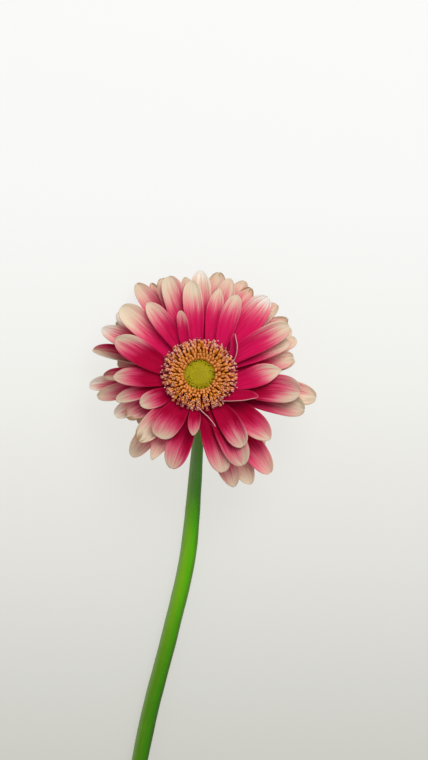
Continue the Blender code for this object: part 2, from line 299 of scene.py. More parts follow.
# A petal: its tip's direction in degrees and distance in mm, its width in mm, then its root's turn, its
# roll and what it adds to its row's last slope, in degrees.
PETALS = {
    "lowest": (
        (8, 43, 8.5, 0, 0, 0), (26, 46, 8.5, 0, 0, 0), (50, 43, 8.5, 0, 0, -7), (98, 44, 8.5, 0, 0, 0),
        (118.2, 46.5, 7, 0, 0, 0), (148, 44, 8.5, 0, 0, 0), (172, 37, 8, 0, 0, 0),
        (185.8, 49.5, 9, 0, 0, 0), (218, 35, 8, 0, 0, 0), (243, 38, 8, 0, 0, 0), (295, 54, 10, 0, 0, 0),
        (312, 43, 8, 0, 0, 0), (337, 38, 8, 0, 0, 0),
    ),
    "low": (
        (20, 46.5, 9, 0, 0, 0), (64.6, 47, 9, 0, 0, 0), (79.3, 46.9, 9.5, 0, 0, 0), (125, 50, 9.5, 0, 0, 0),
        (143.5, 46.5, 8.5, 0, 0, 0), (167, 49, 9.5, 0, 0, 0), (192.5, 47, 8, 0, 0, 0),
        (206, 42, 8, 0, 0, 0), (230.3, 47.5, 10, 0, 0, 0), (287.3, 52.6, 11.2, 0, 0, 0),
        (305.5, 54.3, 11, 0, 0, 0), (348.4, 53.3, 10.8, 0, 0, 0),
    ),
    "middle": (
        (10, 42.8, 9.5, 0, 0, 0), (32.5, 47, 9, 0, 0, 0), (42.2, 46.8, 8.5, 0, 0, 0),
        (59.3, 45.4, 8, 0, 0, 0), (72.4, 45.6, 9.3, 0, 0, 0), (89.5, 46.8, 10, 0, 0, 0),
        (111.3, 46.5, 9.3, 0, 0, 0), (155, 48.3, 9.5, 0, 0, 0), (181, 43, 8, 0, 0, 0),
        (210.3, 37.6, 9, 0, 0, 0), (240.6, 43.6, 9, 0, 0, 0), (341, 49.5, 12, -10, 0, 0),
    ),
    "high": (
        (20, 42.5, 9, 0, 0, 0), (48.2, 46.2, 13, 0, 0, 0), (76.8, 39.4, 7.8, -8, 0, 0),
        (107.8, 46.2, 10.5, 0, 0, 0), (139.3, 46.3, 12, 0, 0, 0), (197, 39, 6.6, 0, 0, 0),
        (227.6, 40.3, 10, 0, 0, 0), (253.6, 43.6, 11.2, 3, 0, 0), (283.7, 44.7, 11, -4, 0, 0),
        (295.4, 44.8, 12.3, 0, 0, 0), (317.4, 42.6, 11.5, 0, 0, 0), (350.2, 45.6, 13.3, -8, 0, 0),
    ),
    "highest": (
        (2.5, 36.5, 9.8, -26, 0, 0), (28.2, 45.6, 10, 0, 0, 0), (64.1, 39.2, 8.4, -16, 0, 0),
        (95.2, 41.9, 9, 0, 0, 0), (126, 39.5, 8.8, 0, 0, 0), (158, 40.6, 12, 14, 0, 0),
        (181.5, 38.6, 9.5, 8, 0, 0), (207.3, 29.6, 8.5, 6, 0, 0), (236.5, 33.4, 12.5, 2, 0, 0),
        (301.2, 37.3, 10.3, 0, 0, 0),
    ),
    "inner": (
        (338.6, 28, 7.4, -34, -15, 0), (285.6, 24.2, 3.4, -24, 34, 18), (264, 27, 5.9, -2, 0, 0),
        (107, 29.5, 5.4, 14, 0, 0), (48.5, 24, 5.2, -60, -12, 0),
    ),
}
print("petals in each row:", {row: len(petals) for row, petals in PETALS.items()})

# %% [markdown]
# A petal's middle surface is a formula with two inputs: how far across we are, from -1 to 1, and what
# share of the way from root to tip. A spine gives the place, a width the reach to each side, and a lift
# off the flat blade adds the hollow, the ribs, the waves, a tucked edge and the curl of the tip.

# %% Where a petal's surface runs
DISC_HEIGHT = 10  # of the disc's middle, in mm
WIDEST_AT = 0.62  # a share of the blade's length
ROOT_SHARE = 0.56  # the root's width, as a share of the greatest
TIP_SHARE = 0.12  # the tip's
NEAR = 0.01  # how far ahead and behind the spine's direction is taken from
FLAT_ROOT = 0.35  # the share of the length over which the hollow opens
CHANNEL = 0.13  # the hollow's depth, as a share of the width
LEVEL_AT = 0.35  # how high in the hollow the spine runs
CUP_DRAWS_IN = 0.9  # how much a deeper hollow narrows the blade
CURL_FROM = 0.75  # where the tip starts to curl down


def petal_width(share, blunt):
    """The blade's width as a share of its greatest; blunt runs from 0, pointed, to 1, round."""
    grown = ROOT_SHARE + (1 - ROOT_SHARE) * smoothly(share / WIDEST_AT)
    closing = min(max(0.0, (share - WIDEST_AT) / (1 - WIDEST_AT)), 1.0)
    closed = (1 - closing ** (1.9 + 1.5 * blunt)) ** (0.85 - 0.33 * blunt)
    return max(grown * closed, TIP_SHARE if closing else 0)


def spine_height(row, steeper, reach, share):
    """The spine's height in mm, at a share of the way to a tip at this reach."""
    height, root, leaves, arrives = ROWS[row]
    start = math.tan(math.radians(leaves))
    end = math.tan(math.radians(arrives + steeper))
    return height + (reach - root) * (start * share + (end - start) * share**2 / 2)


def tip_place(row, petal):
    """(azimuth, reach) on the leaning head of a tip that is listed as seen from above."""
    direction, distance, _, _, _, steeper = petal
    aside = distance * math.cos(math.radians(direction))
    ahead = distance * math.sin(math.radians(direction))
    reach = distance
    for _ in range(5):
        below = DISC_HEIGHT - spine_height(row, steeper, reach, 1)
        out = (ahead + below * math.sin(HEAD_LEAN)) / math.cos(HEAD_LEAN)
        reach = math.hypot(aside, out)
    return math.atan2(out, aside), reach


def petal_spine(row, petal, share, swing):
    """A point of the blade's middle line."""
    azimuth, reach = tip_place(row, petal)
    root = ROWS[row][1]
    angle = azimuth + math.radians(petal[3] + swing) * (1 - share) ** 2
    height = spine_height(row, petal[5], reach, share)
    return polar(root + (reach - root) * share, angle, height) * MM


def petal_frame(row, petal, look, share):
    """A point of the spine, the way across the blade there, and the way out of its face."""
    here = petal_spine(row, petal, share, look["swing"])
    ahead, behind = (petal_spine(row, petal, share + step, look["swing"]) for step in (NEAR, -NEAR))
    along = (ahead - behind).normalized()
    roll = petal[4] + look["roll"] * smoothly(share / 0.6)
    turn = Matrix.Rotation(math.radians(roll) * smoothly(share / 0.3), 3, along)
    aside = turn @ UP.cross(along).normalized()
    return here, aside, along.cross(aside)


def petal_lift(look, width, across, share):
    """How far the surface stands off the flat blade."""
    opened = smoothly(share / FLAT_ROOT)
    lift = (CHANNEL + look["cup"]) * width * (across**2 - LEVEL_AT) * opened
    ribs = look["ribs"] * math.cos((across + look["lean"]) * math.pi * look["rib_count"])
    dying = smoothly(share / 0.2) * (1 - 0.5 * smoothly((share - 0.7) / 0.3))
    lift += ribs * petal_width(share, look["blunt"]) * dying
    lift += look["over"] * smoothly(share / 0.3) * MM
    lift -= look["tuck"] * max(across * look["tuck_side"], 0) ** 2 * opened * MM
    wave = look["wave"] * math.sin(share * look["waves"] + look["turn"])
    lift += wave * across**3 * smoothly((share - 0.2) / 0.5) * MM
    return lift - look["curl"] * smoothly((share - CURL_FROM) / (1 - CURL_FROM)) ** 2 * MM


def petal_point(row, petal, look, across, share):
    """A point of the petal's middle surface: across runs from -1 to 1, share from root to tip."""
    here, aside, face = petal_frame(row, petal, look, share)
    width = petal[2] * MM * petal_width(share, look["blunt"])
    out = across * width / 2 * (1 - CUP_DRAWS_IN * look["cup"])
    out += look["bow"] * math.sin(math.pi * min(max(share, 0), 1)) * MM
    return here + aside * out + face * petal_lift(look, width, across, share)


FIRST = PETALS["highest"][0]
print("a front petal's tip, at azimuth and reach:", [round(n, 2) for n in tip_place("highest", FIRST)])

# %% [markdown]
# The mesh starts as a flat grid. Each of its points is moved to its place on the surface and keeps its
# two inputs as traits, for the finish to read. Near the tip the points are drawn back to leave three
# teeth. `solidify` then adds a second layer, the underside.

# %% One petal as a mesh
ACROSS_STEPS = 16
ALONG_STEPS = 38
CROWDING = 0.15  # how much the grid's rows are crowded towards the tip
TEETH_FROM = 0.88  # a share of the length
WALL = 0.28 * MM
PETAL_TRAITS = ("number", "fade", "slant", "age", "pale", "cool", "tone", "lit")


def petal_mesh(row, petal, look):
    bm = new_mesh("across", "along", "under", *PETAL_TRAITS)
    bmesh.ops.create_grid(bm, x_segments=ACROSS_STEPS, y_segments=ALONG_STEPS, size=1)
    across_trait, along_trait = (bm.verts.layers.float[name] for name in ("across", "along"))
    for v in bm.verts:
        across = -v.co.x
        along = (v.co.y + 1) / 2
        along += CROWDING * math.sin(along * math.pi)
        v[across_trait], v[along_trait] = across, along
        notch = look["teeth"] * (1 - math.cos(across * math.pi * 3)) / 2
        notch *= smoothly((along - TEETH_FROM) / (1 - TEETH_FROM))
        v.co = petal_point(row, petal, look, across, along - notch)
    bm.normal_update()
    for v in bm.verts:
        v.co += v.normal * WALL / 2
    top = set(bm.verts)
    bmesh.ops.solidify(bm, geom=bm.faces[:], thickness=WALL)
    set_trait(bm, [v for v in bm.verts if v not in top], under=1.0)
    return bm


print("cells in each petal's grid:", ACROSS_STEPS * ALONG_STEPS)

# %% [markdown]
# No two petals match. Each draws its ribs, waves, curl, tip and colour by chance, and this table then
# says what sets the best-seen ones apart. In it `fade` is where the crimson ends, `slant` tilts that
# line, `blunt` runs from a pointed tip to a round one, `over` lifts the blade in mm, `tuck` bends one
# edge under, `cup` hollows it, `roll`, `bow` and `swing` bend it, `tone` brightens or darkens it as
# painted light and shade, `cool` takes it from crimson to a brighter cerise, partly as painted light,
# `pale` whitens its tip, `age` browns it, and `lit` paints a highlight on one edge.

# %% Each petal's own character
CHARACTER = {
    ("highest", 2.5): {"fade": 0.75, "blunt": 0.0, "slant": 0.04, "over": 0.3},
    ("highest", 28.2): {"fade": 0.76, "blunt": 1.0, "slant": 0.05},
    ("highest", 64.1): {"fade": 0.76, "blunt": 0.6, "over": 0.2},
    ("highest", 95.2): {"fade": 0.68, "blunt": 0.9, "tone": 1.1},
    ("highest", 126): {"fade": 0.76, "blunt": 0.5, "slant": 0.03, "over": 0.3},
    ("highest", 158): {"fade": 0.80, "blunt": 0.5, "slant": -0.10, "over": 0.35},
    ("highest", 181.5): {"fade": 0.80, "blunt": 0.4, "over": -0.3, "tuck": 0.7, "tuck_side": -1},
    ("highest", 207.3): {"fade": 0.74, "blunt": 0.7, "over": -0.2},
    ("highest", 236.5): {"fade": 0.80, "blunt": 1.0, "over": 0.4, "slant": 0.06},
    ("high", 253.6): {"fade": 0.88, "tone": 0.92, "blunt": 0.8, "slant": -0.10, "tuck": 0.8, "tuck_side": -1},
    ("high", 283.7): {"fade": 0.82, "blunt": 0.9, "over": -0.3, "tuck": 1.0, "tuck_side": 1},
    ("highest", 301.2): {"fade": 0.82, "blunt": 1.0},
    ("high", 20): {"fade": 0.74, "blunt": 0.8},
    ("high", 48.2): {"fade": 0.82, "pale": 0.9, "blunt": 0.7},
    ("high", 76.8): {"fade": 0.78, "blunt": 0.2},
    ("high", 107.8): {"fade": 0.74, "blunt": 1.0, "slant": 0.08},
    ("high", 139.3): {"fade": 0.68, "blunt": 0.9, "slant": 0.09, "tone": 1.12, "cool": 0.8},
    ("high", 197): {"fade": 0.76, "blunt": 0.8, "slant": 0.05},
    ("high", 227.6): {"fade": 0.66, "age": 0.8, "blunt": 0.9, "tone": 1.1},
    ("high", 295.4): {"fade": 0.82, "blunt": 0.8, "over": 0.4},
    ("high", 317.4): {"fade": 0.84, "blunt": 0.5, "slant": -0.06, "over": 0.3},
    ("high", 350.2): {"fade": 0.80, "blunt": 0.9, "tone": 0.92, "cool": 0.4},
    ("middle", 89.5): {"pale": 0.8, "fade": 0.70},
    ("middle", 155): {"pale": 0.7, "fade": 0.80},
    ("middle", 341): {"fade": 0.74, "blunt": 0.9, "age": 0.4, "tone": 0.95},
    ("middle", 10): {"fade": 0.76, "blunt": 0.9},
    ("middle", 240.6): {"blunt": 0.0, "tone": 1.3},
    ("middle", 210.3): {"age": 0.8, "blunt": 1.0},
    ("middle", 181): {"cup": 0.25, "tone": 0.9, "age": 0.4, "slant": 0.2},
    ("middle", 59.3): {"age": 1.0},
    ("middle", 32.5): {"age": 0.7},
    ("middle", 111.3): {"age": 0.4},
    ("low", 143.5): {"pale": 0.8, "age": 0.3},
    ("low", 206): {"pale": 0.5, "tone": 1.6},
    ("low", 167): {"cup": 0.3, "tone": 0.95, "fade": 0.76, "slant": 0.32},
    ("low", 79.3): {"age": 0.6},
    ("low", 305.5): {"fade": 0.86},
    ("low", 287.3): {"fade": 0.80},
    ("lowest", 185.8): {"pale": 0.6, "cup": 0.15},
    ("lowest", 118.2): {"age": 0.7},
    ("inner", 338.6): {
        "cup": 0.05, "roll": -18, "fade": 1.1, "lit": -0.85, "blunt": 0.0, "bow": -0.5, "tone": 0.95,
    },
    ("inner", 285.6): {"cup": 0.05, "roll": 52, "fade": 1.1, "swing": -12, "lit": 1.0, "blunt": 0.2},
    ("inner", 264): {"cup": 0.1, "fade": 0.84, "lit": -0.5},
    ("inner", 107): {"cup": 0.1, "fade": 0.85},
    ("inner", 48.5): {
        "cup": 0.3, "roll": -15, "fade": 1.1, "lit": -1.0, "bow": -3.1, "swing": 24, "blunt": 0.2,
        "tone": 0.9,
    },
}
print("petals with a character of their own:", len(CHARACTER))

# %% Each petal's look
# How much painted light brightens each row on the side where it sits in shade, the hidden rows most.
ROW_PAINTED_LIGHT = {"lowest": 0.38, "low": 0.32, "middle": 0.20, "high": 0.02, "highest": 0.0, "inner": 0.0}
NO_PAINTED_LIGHT_AT = 75  # the direction where painted light brightens no row, in degrees
PAINTED_LIGHT_AT = 60  # the direction that painted light brightens most
CERISE_AND_BRIGHT_AT = 62  # the direction where the reds are most cerise and, as painted light, brightest


def petal_painted_light(row, direction):
    """Painted light: how much brighter a petal is made, from its row and its direction on the head."""
    shade_lift = 0.5 - 0.5 * math.cos(math.radians(direction - NO_PAINTED_LIGHT_AT))
    painted_light = 0.10 * math.cos(math.radians(direction - PAINTED_LIGHT_AT))
    return (1 + ROW_PAINTED_LIGHT[row] * shade_lift) * (1 + painted_light)


def petal_look(row, petal):
    """Everything that makes a petal itself: drawn by chance, then set by its character."""
    front = row in ("high", "highest", "inner")
    look = {
        "ribs": random.uniform(0.08, 0.16) * MM * petal[2] / 9,
        "rib_count": random.choice((2, 3, 3, 4)),
        "lean": random.uniform(-0.3, 0.3),
        "waves": random.uniform(4, 9),
        "turn": random.uniform(0, math.tau),
        "wave": random.uniform(0.15, 0.5),
        "curl": random.uniform(-0.2, 0.7) if row != "lowest" else random.uniform(-0.5, 0),
        "teeth": random.uniform(0.006, 0.016),
        "blunt": random.uniform(0.5, 1.0),
        "cup": random.uniform(0, 0.05),
        "roll": random.uniform(-4, 4),
        "over": 0.0,
        "bow": random.uniform(-0.4, 0.4),
        "swing": 0.0,
        "tuck": 0.0,
        "tuck_side": 1,
        "fade": random.uniform(0.72, 0.82),
        "slant": random.uniform(-0.04, 0.04),
        "lit": 0.0,
        "age": 0.0 if front else random.uniform(0, 0.35),
        "pale": 0.0,
        "cool": 0.5 + 0.5 * math.cos(math.radians(petal[0] - CERISE_AND_BRIGHT_AT)),
        # A petal's brightness: painted light from its row and direction, times a small tone of its own drawn
        # by chance.
        "tone": petal_painted_light(row, petal[0]) * random.uniform(0.96, 1.04),
    }
    look.update(CHARACTER.get((row, petal[0]), {}))
    return look


# %% [markdown]
# A fresh petal is crimson from the root to past its middle, then pink, and cream at the tip. The change
# is not a clean line: it runs up the veins in streaks. So the finish takes "how far along", shifts it by
# noise that is stretched lengthwise, and looks the result up in a colour ramp. The underside is paler,
# the thin rim gets a painted highlight, and the older tips go brown. Each petal's brightness is then set
# by painted light. A painted picture could show all this, but one formula serves 64 petals, and each
# reads its own traits.

# %% The petals' finish
CRIMSON = (0.36, 0.0006, 0.031)
CERISE = (0.53, 0.006, 0.076)
DEEP = (0.27, 0.0004, 0.022)
MAGENTA = (0.54, 0.028, 0.098)
ROSE = (0.585, 0.13, 0.17)
SHELL = (0.595, 0.28, 0.25)
CREAM = (0.60, 0.42, 0.31)
IVORY = (0.605, 0.495, 0.365)
WHITE = (0.68, 0.655, 0.61)
BROWN = (0.24, 0.13, 0.05)
PAINTED_RIM_HIGHLIGHT = (0.66, 0.34, 0.33)
PAINTED_EDGE_HIGHLIGHT = (0.72, 0.36, 0.36)
UNDERSIDE = (0.60, 0.30, 0.28)
FADING = [(0.22, MAGENTA), (0.43, ROSE), (0.63, SHELL), (0.82, CREAM), (1.0, IVORY)]
FADE_CONTRAST = 2.1  # how quickly a petal goes through those colours
RIB_DEPTH = 0.14 * MM


def petal_finish():
    finish = Finish("petal", roughness=0.6, specular_ior_level=0.03)
    across, along, number = finish.trait("across"), finish.trait("along"), finish.trait("number")
    broad = finish.clouds(finish.place(across * 1.6, along * 1.8, number), 1.0, 2.0, 0.5) - 0.5
    streaks = finish.clouds(finish.place(across * 6, along * 1.5, number), 1.0, 3.0, 0.6) - 0.5
    fine = finish.clouds(finish.place(across * 22, along * 2.5, number), 1.0, 3.0, 0.65) - 0.5
    shift = 0.30 * broad + 0.30 * streaks + 0.45 * fine + finish.trait("slant") * across
    ripe = (along - finish.trait("fade") + shift + 0.03 * across * across) * FADE_CONTRAST + 0.5
    # Crimson turns to a brighter cerise towards one side of the head: partly the petals' own hue, partly
    # painted light.
    young = finish.blend(finish.trait("cool").between(0.4, 1.0), CRIMSON, CERISE)
    colour = finish.blend(ripe.between(-0.1, 0.28), young, finish.ramp(ripe, FADING))
    dark = (streaks + 0.7 * fine).between(0.02, 0.2) * (1.0 - ripe.between(0.2, 0.7))
    colour = finish.blend(dark * 0.6, colour, DEEP)
    # Painted highlight: the thin rim of the blade is lightened, as if it caught the light.
    rim = abs(across).between(0.95, 1.0) * along.between(0.3, 0.8)
    colour = finish.blend(rim * 0.12, colour, PAINTED_RIM_HIGHLIGHT)
    # Painted highlight along one edge of some petals, reaching over the whole of a small one.
    lit = (across * finish.trait("lit")).between(0.72, 0.9)
    colour = finish.blend(lit, colour, PAINTED_EDGE_HIGHLIGHT)
    colour = finish.blend(finish.trait("pale") * (along + shift).between(0.80, 1.0), colour, WHITE)
    colour = finish.blend(finish.trait("under").between(0.6, 1.0) * 0.5, colour, UNDERSIDE)
    age = finish.trait("age")
    worn = along + 0.15 * abs(across) + 0.4 * (streaks + broad) + 0.04 * age
    colour = finish.blend(worn.between(0.98, 1.10) * age, colour, BROWN)
    tone = finish.trait("tone")
    colour = finish.tint(1.0, colour, finish.place(tone, tone, tone))
    return finish.wear(colour, 0.6 + 0.25 * fine, streaks + fine, RIB_DEPTH)


PETAL_FINISH = petal_finish()
print("nodes in the petals' finish:", len(PETAL_FINISH.node_tree.nodes))

# %% Grow every petal
for row, petals in PETALS.items():
    for number, petal in enumerate(petals):
        look = petal_look(row, petal)
        bm = petal_mesh(row, petal, look)
        look["number"] = random.uniform(0, 50)
        set_trait(bm, bm.verts, **{name: look[name] for name in PETAL_TRAITS})
        to_piece(bm, f"petal_{row}_{number + 1:02d}", PETAL_FINISH, ROW_NODES[row], HEAD)
print("petals grown:", sum(len(petals) for petals in PETALS.values()))

# %% [markdown]
# ## Turned shapes
#
# Three pieces go round the head's axis: the bed of the closed buds, the fleshy base and the green cup.
# Each is a profile of a few points, turned full circle with `spin`. A cylinder could be pushed into the
# same shape, but a profile keeps every radius and height in sight.


# %% Turned shapes
def turned(profile, steps, *traits):
    """A profile of (radius, height) in mm, from the axis and back to it, turned round the axis."""
    bm = new_mesh(*traits)
    points = [bm.verts.new((r * MM, 0, h * MM)) for r, h in profile]
    edges = [bm.edges.new(pair) for pair in zip(points, points[1:])]
    bmesh.ops.spin(
        bm, geom=points + edges, axis=UP, cent=(0, 0, 0), angle=math.tau, steps=steps, use_merge=True
    )
    bmesh.ops.remove_doubles(bm, verts=bm.verts, dist=0.01 * MM)
    bmesh.ops.recalc_face_normals(bm, faces=bm.faces)
    return bm


# %% [markdown]
# ## The disc: florets on rings
#
# The disc opens from its rim inwards. At the rim each floret is an open tube with five curled lobes;
# further in they are younger, shorter and still closed, and look like smooth plump grains. Each one is
# a ring of ten points, extruded upwards a few times and widened or narrowed at every step. At the mouth
# every second point is pulled out to make a lobe, by a different amount each time.

# %% One floret
FLORET_SIDES = 10
FOOT_SHARE = 0.7  # the foot's width, as a share of the mouth's
LOBE = 0.6  # how far a whole lobe reaches out, in mm
LOBE_RISE = 0.15  # and up
OPENS_FROM = 0.2  # less open than this, it is a closed grain
OPEN_SHAPE = (
    # share of the length, share of the width, how far the lobes reach, whether it is inside the throat
    (0.50, 0.85, 0.0, 0),
    (0.84, 1.00, 0.1, 0),
    (1.00, 1.10, 1.0, 0),
    (1.00, 0.80, 0.75, 0),
    (0.80, 0.40, 0.0, 1),
)
CLOSED_SHAPE = ((0.45, 1.00, 0, 0), (0.72, 0.92, 0, 0), (0.90, 0.66, 0, 0), (1.00, 0.22, 0, 0))


def floret(bm, place, length, half, openness):
    """One floret, pushed up from a ring on the origin, bent a little, then set in place."""
    traits = {"number": random.random(), "open": openness}
    foot = half * FOOT_SHARE * MM
    ring = bmesh.ops.create_circle(bm, cap_ends=True, radius=foot, segments=FLORET_SIDES)["verts"]
    set_trait(bm, ring, up=0.0, inside=0.0, **traits)
    cap = next(face for face in ring[0].link_faces if len(face.verts) == FLORET_SIDES)
    end = ring + list(cap.edges) + [cap]
    made = list(ring)
    reaches = [random.uniform(0.25, 1.25) for _ in range(FLORET_SIDES)]
    for rise, wide, lobe, inside in OPEN_SHAPE if openness > OPENS_FROM else CLOSED_SHAPE:
        end = bmesh.ops.extrude_face_region(bm, geom=end)["geom"]
        ring = [v for v in end if isinstance(v, bmesh.types.BMVert)]
        for v in ring:
            angle = math.atan2(v.co.y, v.co.x)
            number = round(angle / math.tau * FLORET_SIDES) % FLORET_SIDES
            reach = lobe * openness * reaches[number] if number % 2 else 0
            out = (half * wide + LOBE * reach) * MM
            v.co = polar(out, angle, (length * rise + LOBE_RISE * reach) * MM)
        set_trait(bm, ring, up=rise, inside=inside, **traits)
        made += ring
    bend = random.uniform(-0.3, 0.7)
    for v in made:
        v.co.x += bend * (v.co.z / (length * MM)) ** 2 * MM
    bmesh.ops.transform(bm, matrix=place, verts=made)


print("points in an open floret:", FLORET_SIDES * (len(OPEN_SHAPE) + 1))

# %% [markdown]
# Rings of florets lean further out and get longer towards the rim. Small random turns and sizes keep any
# two from looking alike, and each ring is its own piece. A floret's colour is looked up by how far up it
# we are, in one of three ramps: a young grain's, a fresh tube's, and the redder one of the oldest.

# %% Rings of florets
FLORET_RINGS = (
    # how many, foot radius, foot height, lean, length, half width, openness
    (38, 7.0, 8.3, 14, 2.9, 0.70, 0.0),
    (40, 7.8, 8.3, 22, 3.6, 0.72, 0.0),
    (40, 8.6, 8.2, 30, 4.2, 0.68, 0.0),
    (42, 9.2, 8.2, 38, 4.9, 0.50, 0.45),
    (44, 9.8, 8.2, 46, 5.3, 0.43, 0.7),
    (46, 10.4, 8.2, 55, 5.6, 0.41, 0.85),
    (48, 10.8, 8.2, 63, 5.8, 0.39, 1.0),
    (44, 11.0, 8.0, 71, 6.1, 0.38, 1.0),
)


def floret_place(ring, i, wander):
    """Where floret i of a ring stands: turned round the head, then leaned outwards."""
    count, foot, height, lean = FLORET_RINGS[ring][:4]
    azimuth = math.tau * (i + 0.5 * (ring % 2) + random.uniform(-wander, wander)) / count
    place = Matrix.Rotation(azimuth, 4, "Z")
    place @= Matrix.Translation((foot * MM, 0, height * MM))
    return place @ Matrix.Rotation(math.radians(lean + random.uniform(-30, 30) * wander), 4, "Y")


def floret_ring_mesh(ring):
    count, _, _, _, length, half, openness = FLORET_RINGS[ring]
    bm = new_mesh("up", "inside", "number", "open")
    wander = 0.10 + 0.15 * openness
    for i in range(count):
        place = floret_place(ring, i, wander)
        place @= Matrix.Rotation(random.uniform(-0.15, 0.15), 4, "X")
        tall = length * random.uniform(1 - 0.16 * openness, 1.04)
        floret(bm, place, tall, half * random.uniform(0.92, 1.08), openness * random.uniform(0.8, 1.1))
    bmesh.ops.recalc_face_normals(bm, faces=bm.faces)
    return bm


GRAIN_COLOURS = [
    (0.0, (0.20, 0.02, 0.005)), (0.40, (0.44, 0.11, 0.010)), (0.70, (0.62, 0.21, 0.025)),
    (1.0, (0.68, 0.28, 0.085)),
]
TUBE_COLOURS = [
    (0.0, (0.30, 0.008, 0.012)), (0.28, (0.42, 0.04, 0.010)), (0.46, (0.64, 0.20, 0.008)),
    (0.78, (0.74, 0.29, 0.012)), (0.92, (0.77, 0.26, 0.09)), (1.0, (0.78, 0.36, 0.20)),
]
OLD_COLOURS = [
    (0.0, (0.26, 0.006, 0.012)), (0.50, (0.36, 0.018, 0.016)), (0.76, (0.60, 0.13, 0.03)),
    (0.92, (0.70, 0.23, 0.13)), (1.0, (0.76, 0.40, 0.28)),
]
THROAT = (0.13, 0.010, 0.008)


def floret_finish():
    finish = Finish("floret", roughness=0.5, specular_ior_level=0.15)
    up, inside, number = finish.trait("up"), finish.trait("inside"), finish.trait("number")
    grain = finish.clouds(finish.object_place(), 700.0, 3.0) - 0.5
    shift = 0.22 * (number - 0.5) + 0.35 * grain
    ramps = (finish.ramp(up + shift, stops) for stops in (GRAIN_COLOURS, TUBE_COLOURS, OLD_COLOURS))
    young, fresh, oldest = ramps
    opened = finish.trait("open")
    colour = finish.blend(opened.between(0.0, 0.4), young, fresh)
    colour = finish.blend(opened.between(0.75, 0.98), colour, oldest)
    colour = finish.blend(inside * 0.9, colour, THROAT)
    return finish.wear(colour, None, grain, 0.08 * MM)


FLORET_FINISH = floret_finish()
for ring in range(len(FLORET_RINGS)):
    name = f"florets_ring_{ring + 1}"
    to_piece(floret_ring_mesh(ring), name, FLORET_FINISH, "floret_ring", HEAD)

# %% [markdown]
# ## Anthers
#
# A dark column of joined anthers pushes up through an open mouth, with pale pollen at its tip. The
# oldest, at the rim, have grown longest, and lean every way. Each is a thin six-sided cone, and about
# half of the open florets have one.

# %% Anthers
ANTHERS_FROM = 0.5  # how open a floret is before its anthers show
NO_ANTHER = 0.45  # the share of those that have none
ANTHER_WANDER = 0.22


def anther_mesh():
    bm = new_mesh("up", "number")
    for ring, (count, _, _, _, length, _, openness) in enumerate(FLORET_RINGS):
        for i in range(count):
            if openness < ANTHERS_FROM or random.random() < NO_ANTHER:
                continue
            place = floret_place(ring, i, ANTHER_WANDER)
            tall = (length + random.uniform(0.1, 1.0) * openness) * MM
            place @= Matrix.Translation((0, 0, tall / 2))
            top = random.uniform(0.16, 0.26) * MM
            made = bmesh.ops.create_cone(
                bm, cap_ends=True, segments=6, radius1=0.12 * MM, radius2=top, depth=tall
            )["verts"]
            set_trait(bm, made, up=lambda v: v.co.z / tall + 0.5, number=random.random())
            bmesh.ops.transform(bm, matrix=place, verts=made)
    return bm


def anther_finish():
    finish = Finish("anther", roughness=0.5, specular_ior_level=0.15)
    reach = finish.trait("up") + 0.10 * (finish.trait("number") - 0.4)
    stops = [(0.0, (0.06, 0.003, 0.004)), (0.90, (0.20, 0.010, 0.050))]
    stops += [(0.96, (0.44, 0.14, 0.13)), (1.0, (0.70, 0.44, 0.35))]
    return finish.wear(finish.ramp(reach, stops))


to_piece(anther_mesh(), "anthers", anther_finish(), "floret_ring", HEAD)

# %% [markdown]
# ## The green middle
#
# The closed buds follow the spiral that sunflowers and daisies share: each new one turns by the golden
# angle, 137.5 degrees, and moves out by the square root of its number. That packs them evenly. They
# stand on a low turned bed, and a bud is only a small stretched ball, since there are hundreds.

# %% Closed buds
BUDS = 420
GOLDEN = math.radians(137.508)
BED = 6.9  # the bed's radius, in mm
BED_OUTLINE = ((0, 8.2), (BED, 8.2), (BED, 9.2), (BED * 0.6, 9.95), (0, 10.2))
BUD_STRETCH = 1.7
BUD_COLOURS = [(0.0, (0.28, 0.22, 0.002)), (0.5, (0.46, 0.39, 0.002)), (1.0, (0.60, 0.54, 0.012))]
PAINTED_BUD_SHADE = (0.05, 0.03, 0.002)
BUD_DARK = (0.09, 0.05, 0.004)
BUD_BRIGHT = (0.62, 0.50, 0.05)


def bud_mesh():
    bm = turned(BED_OUTLINE, 24, "up", "number", "rim")
    for i in range(BUDS):
        share = math.sqrt((i + 0.5) / BUDS)
        azimuth = i * GOLDEN
        size = (0.20 + 0.10 * share) * random.uniform(0.9, 1.1)
        height = 10.15 - 0.9 * share**2 + random.uniform(-0.06, 0.06)
        made = bmesh.ops.create_icosphere(bm, subdivisions=1, radius=size * MM)["verts"]
        place = Matrix.Translation(polar(BED * share, azimuth, height) * MM)
        place @= Matrix.Rotation(azimuth, 4, "Z") @ Matrix.Rotation(0.5 * share, 4, "Y")
        place @= Matrix.Diagonal((1, 1, BUD_STRETCH, 1))
        set_trait(bm, made, up=lambda v: v.co.z / (size * MM) * 0.5 + 0.5, number=random.random(), rim=share)
        bmesh.ops.transform(bm, matrix=place, verts=made)
    return bm


def bud_finish():
    finish = Finish("bud", roughness=0.5, specular_ior_level=0.1)
    up, number, rim = finish.trait("up"), finish.trait("number"), finish.trait("rim")
    colour = finish.ramp(up + 0.4 * (number - 0.5), BUD_COLOURS)
    # Painted shade: the outer buds darken towards their feet, where they crowd between the bed and the
    # florets.
    colour = finish.blend(rim.between(0.5, 0.9) * (1.0 - up) * 0.9, colour, PAINTED_BUD_SHADE)
    colour = finish.blend(number.between(0.82, 0.86) * rim.between(0.5, 0.8), colour, BUD_DARK)
    colour = finish.blend((0.16 - number).between(0.0, 0.02) * rim.between(0.6, 0.8), colour, BUD_BRIGHT)
    return finish.wear(colour)


to_piece(bud_mesh(), "closed_buds", bud_finish(), "disc_centre", HEAD)
print("buds:", BUDS)

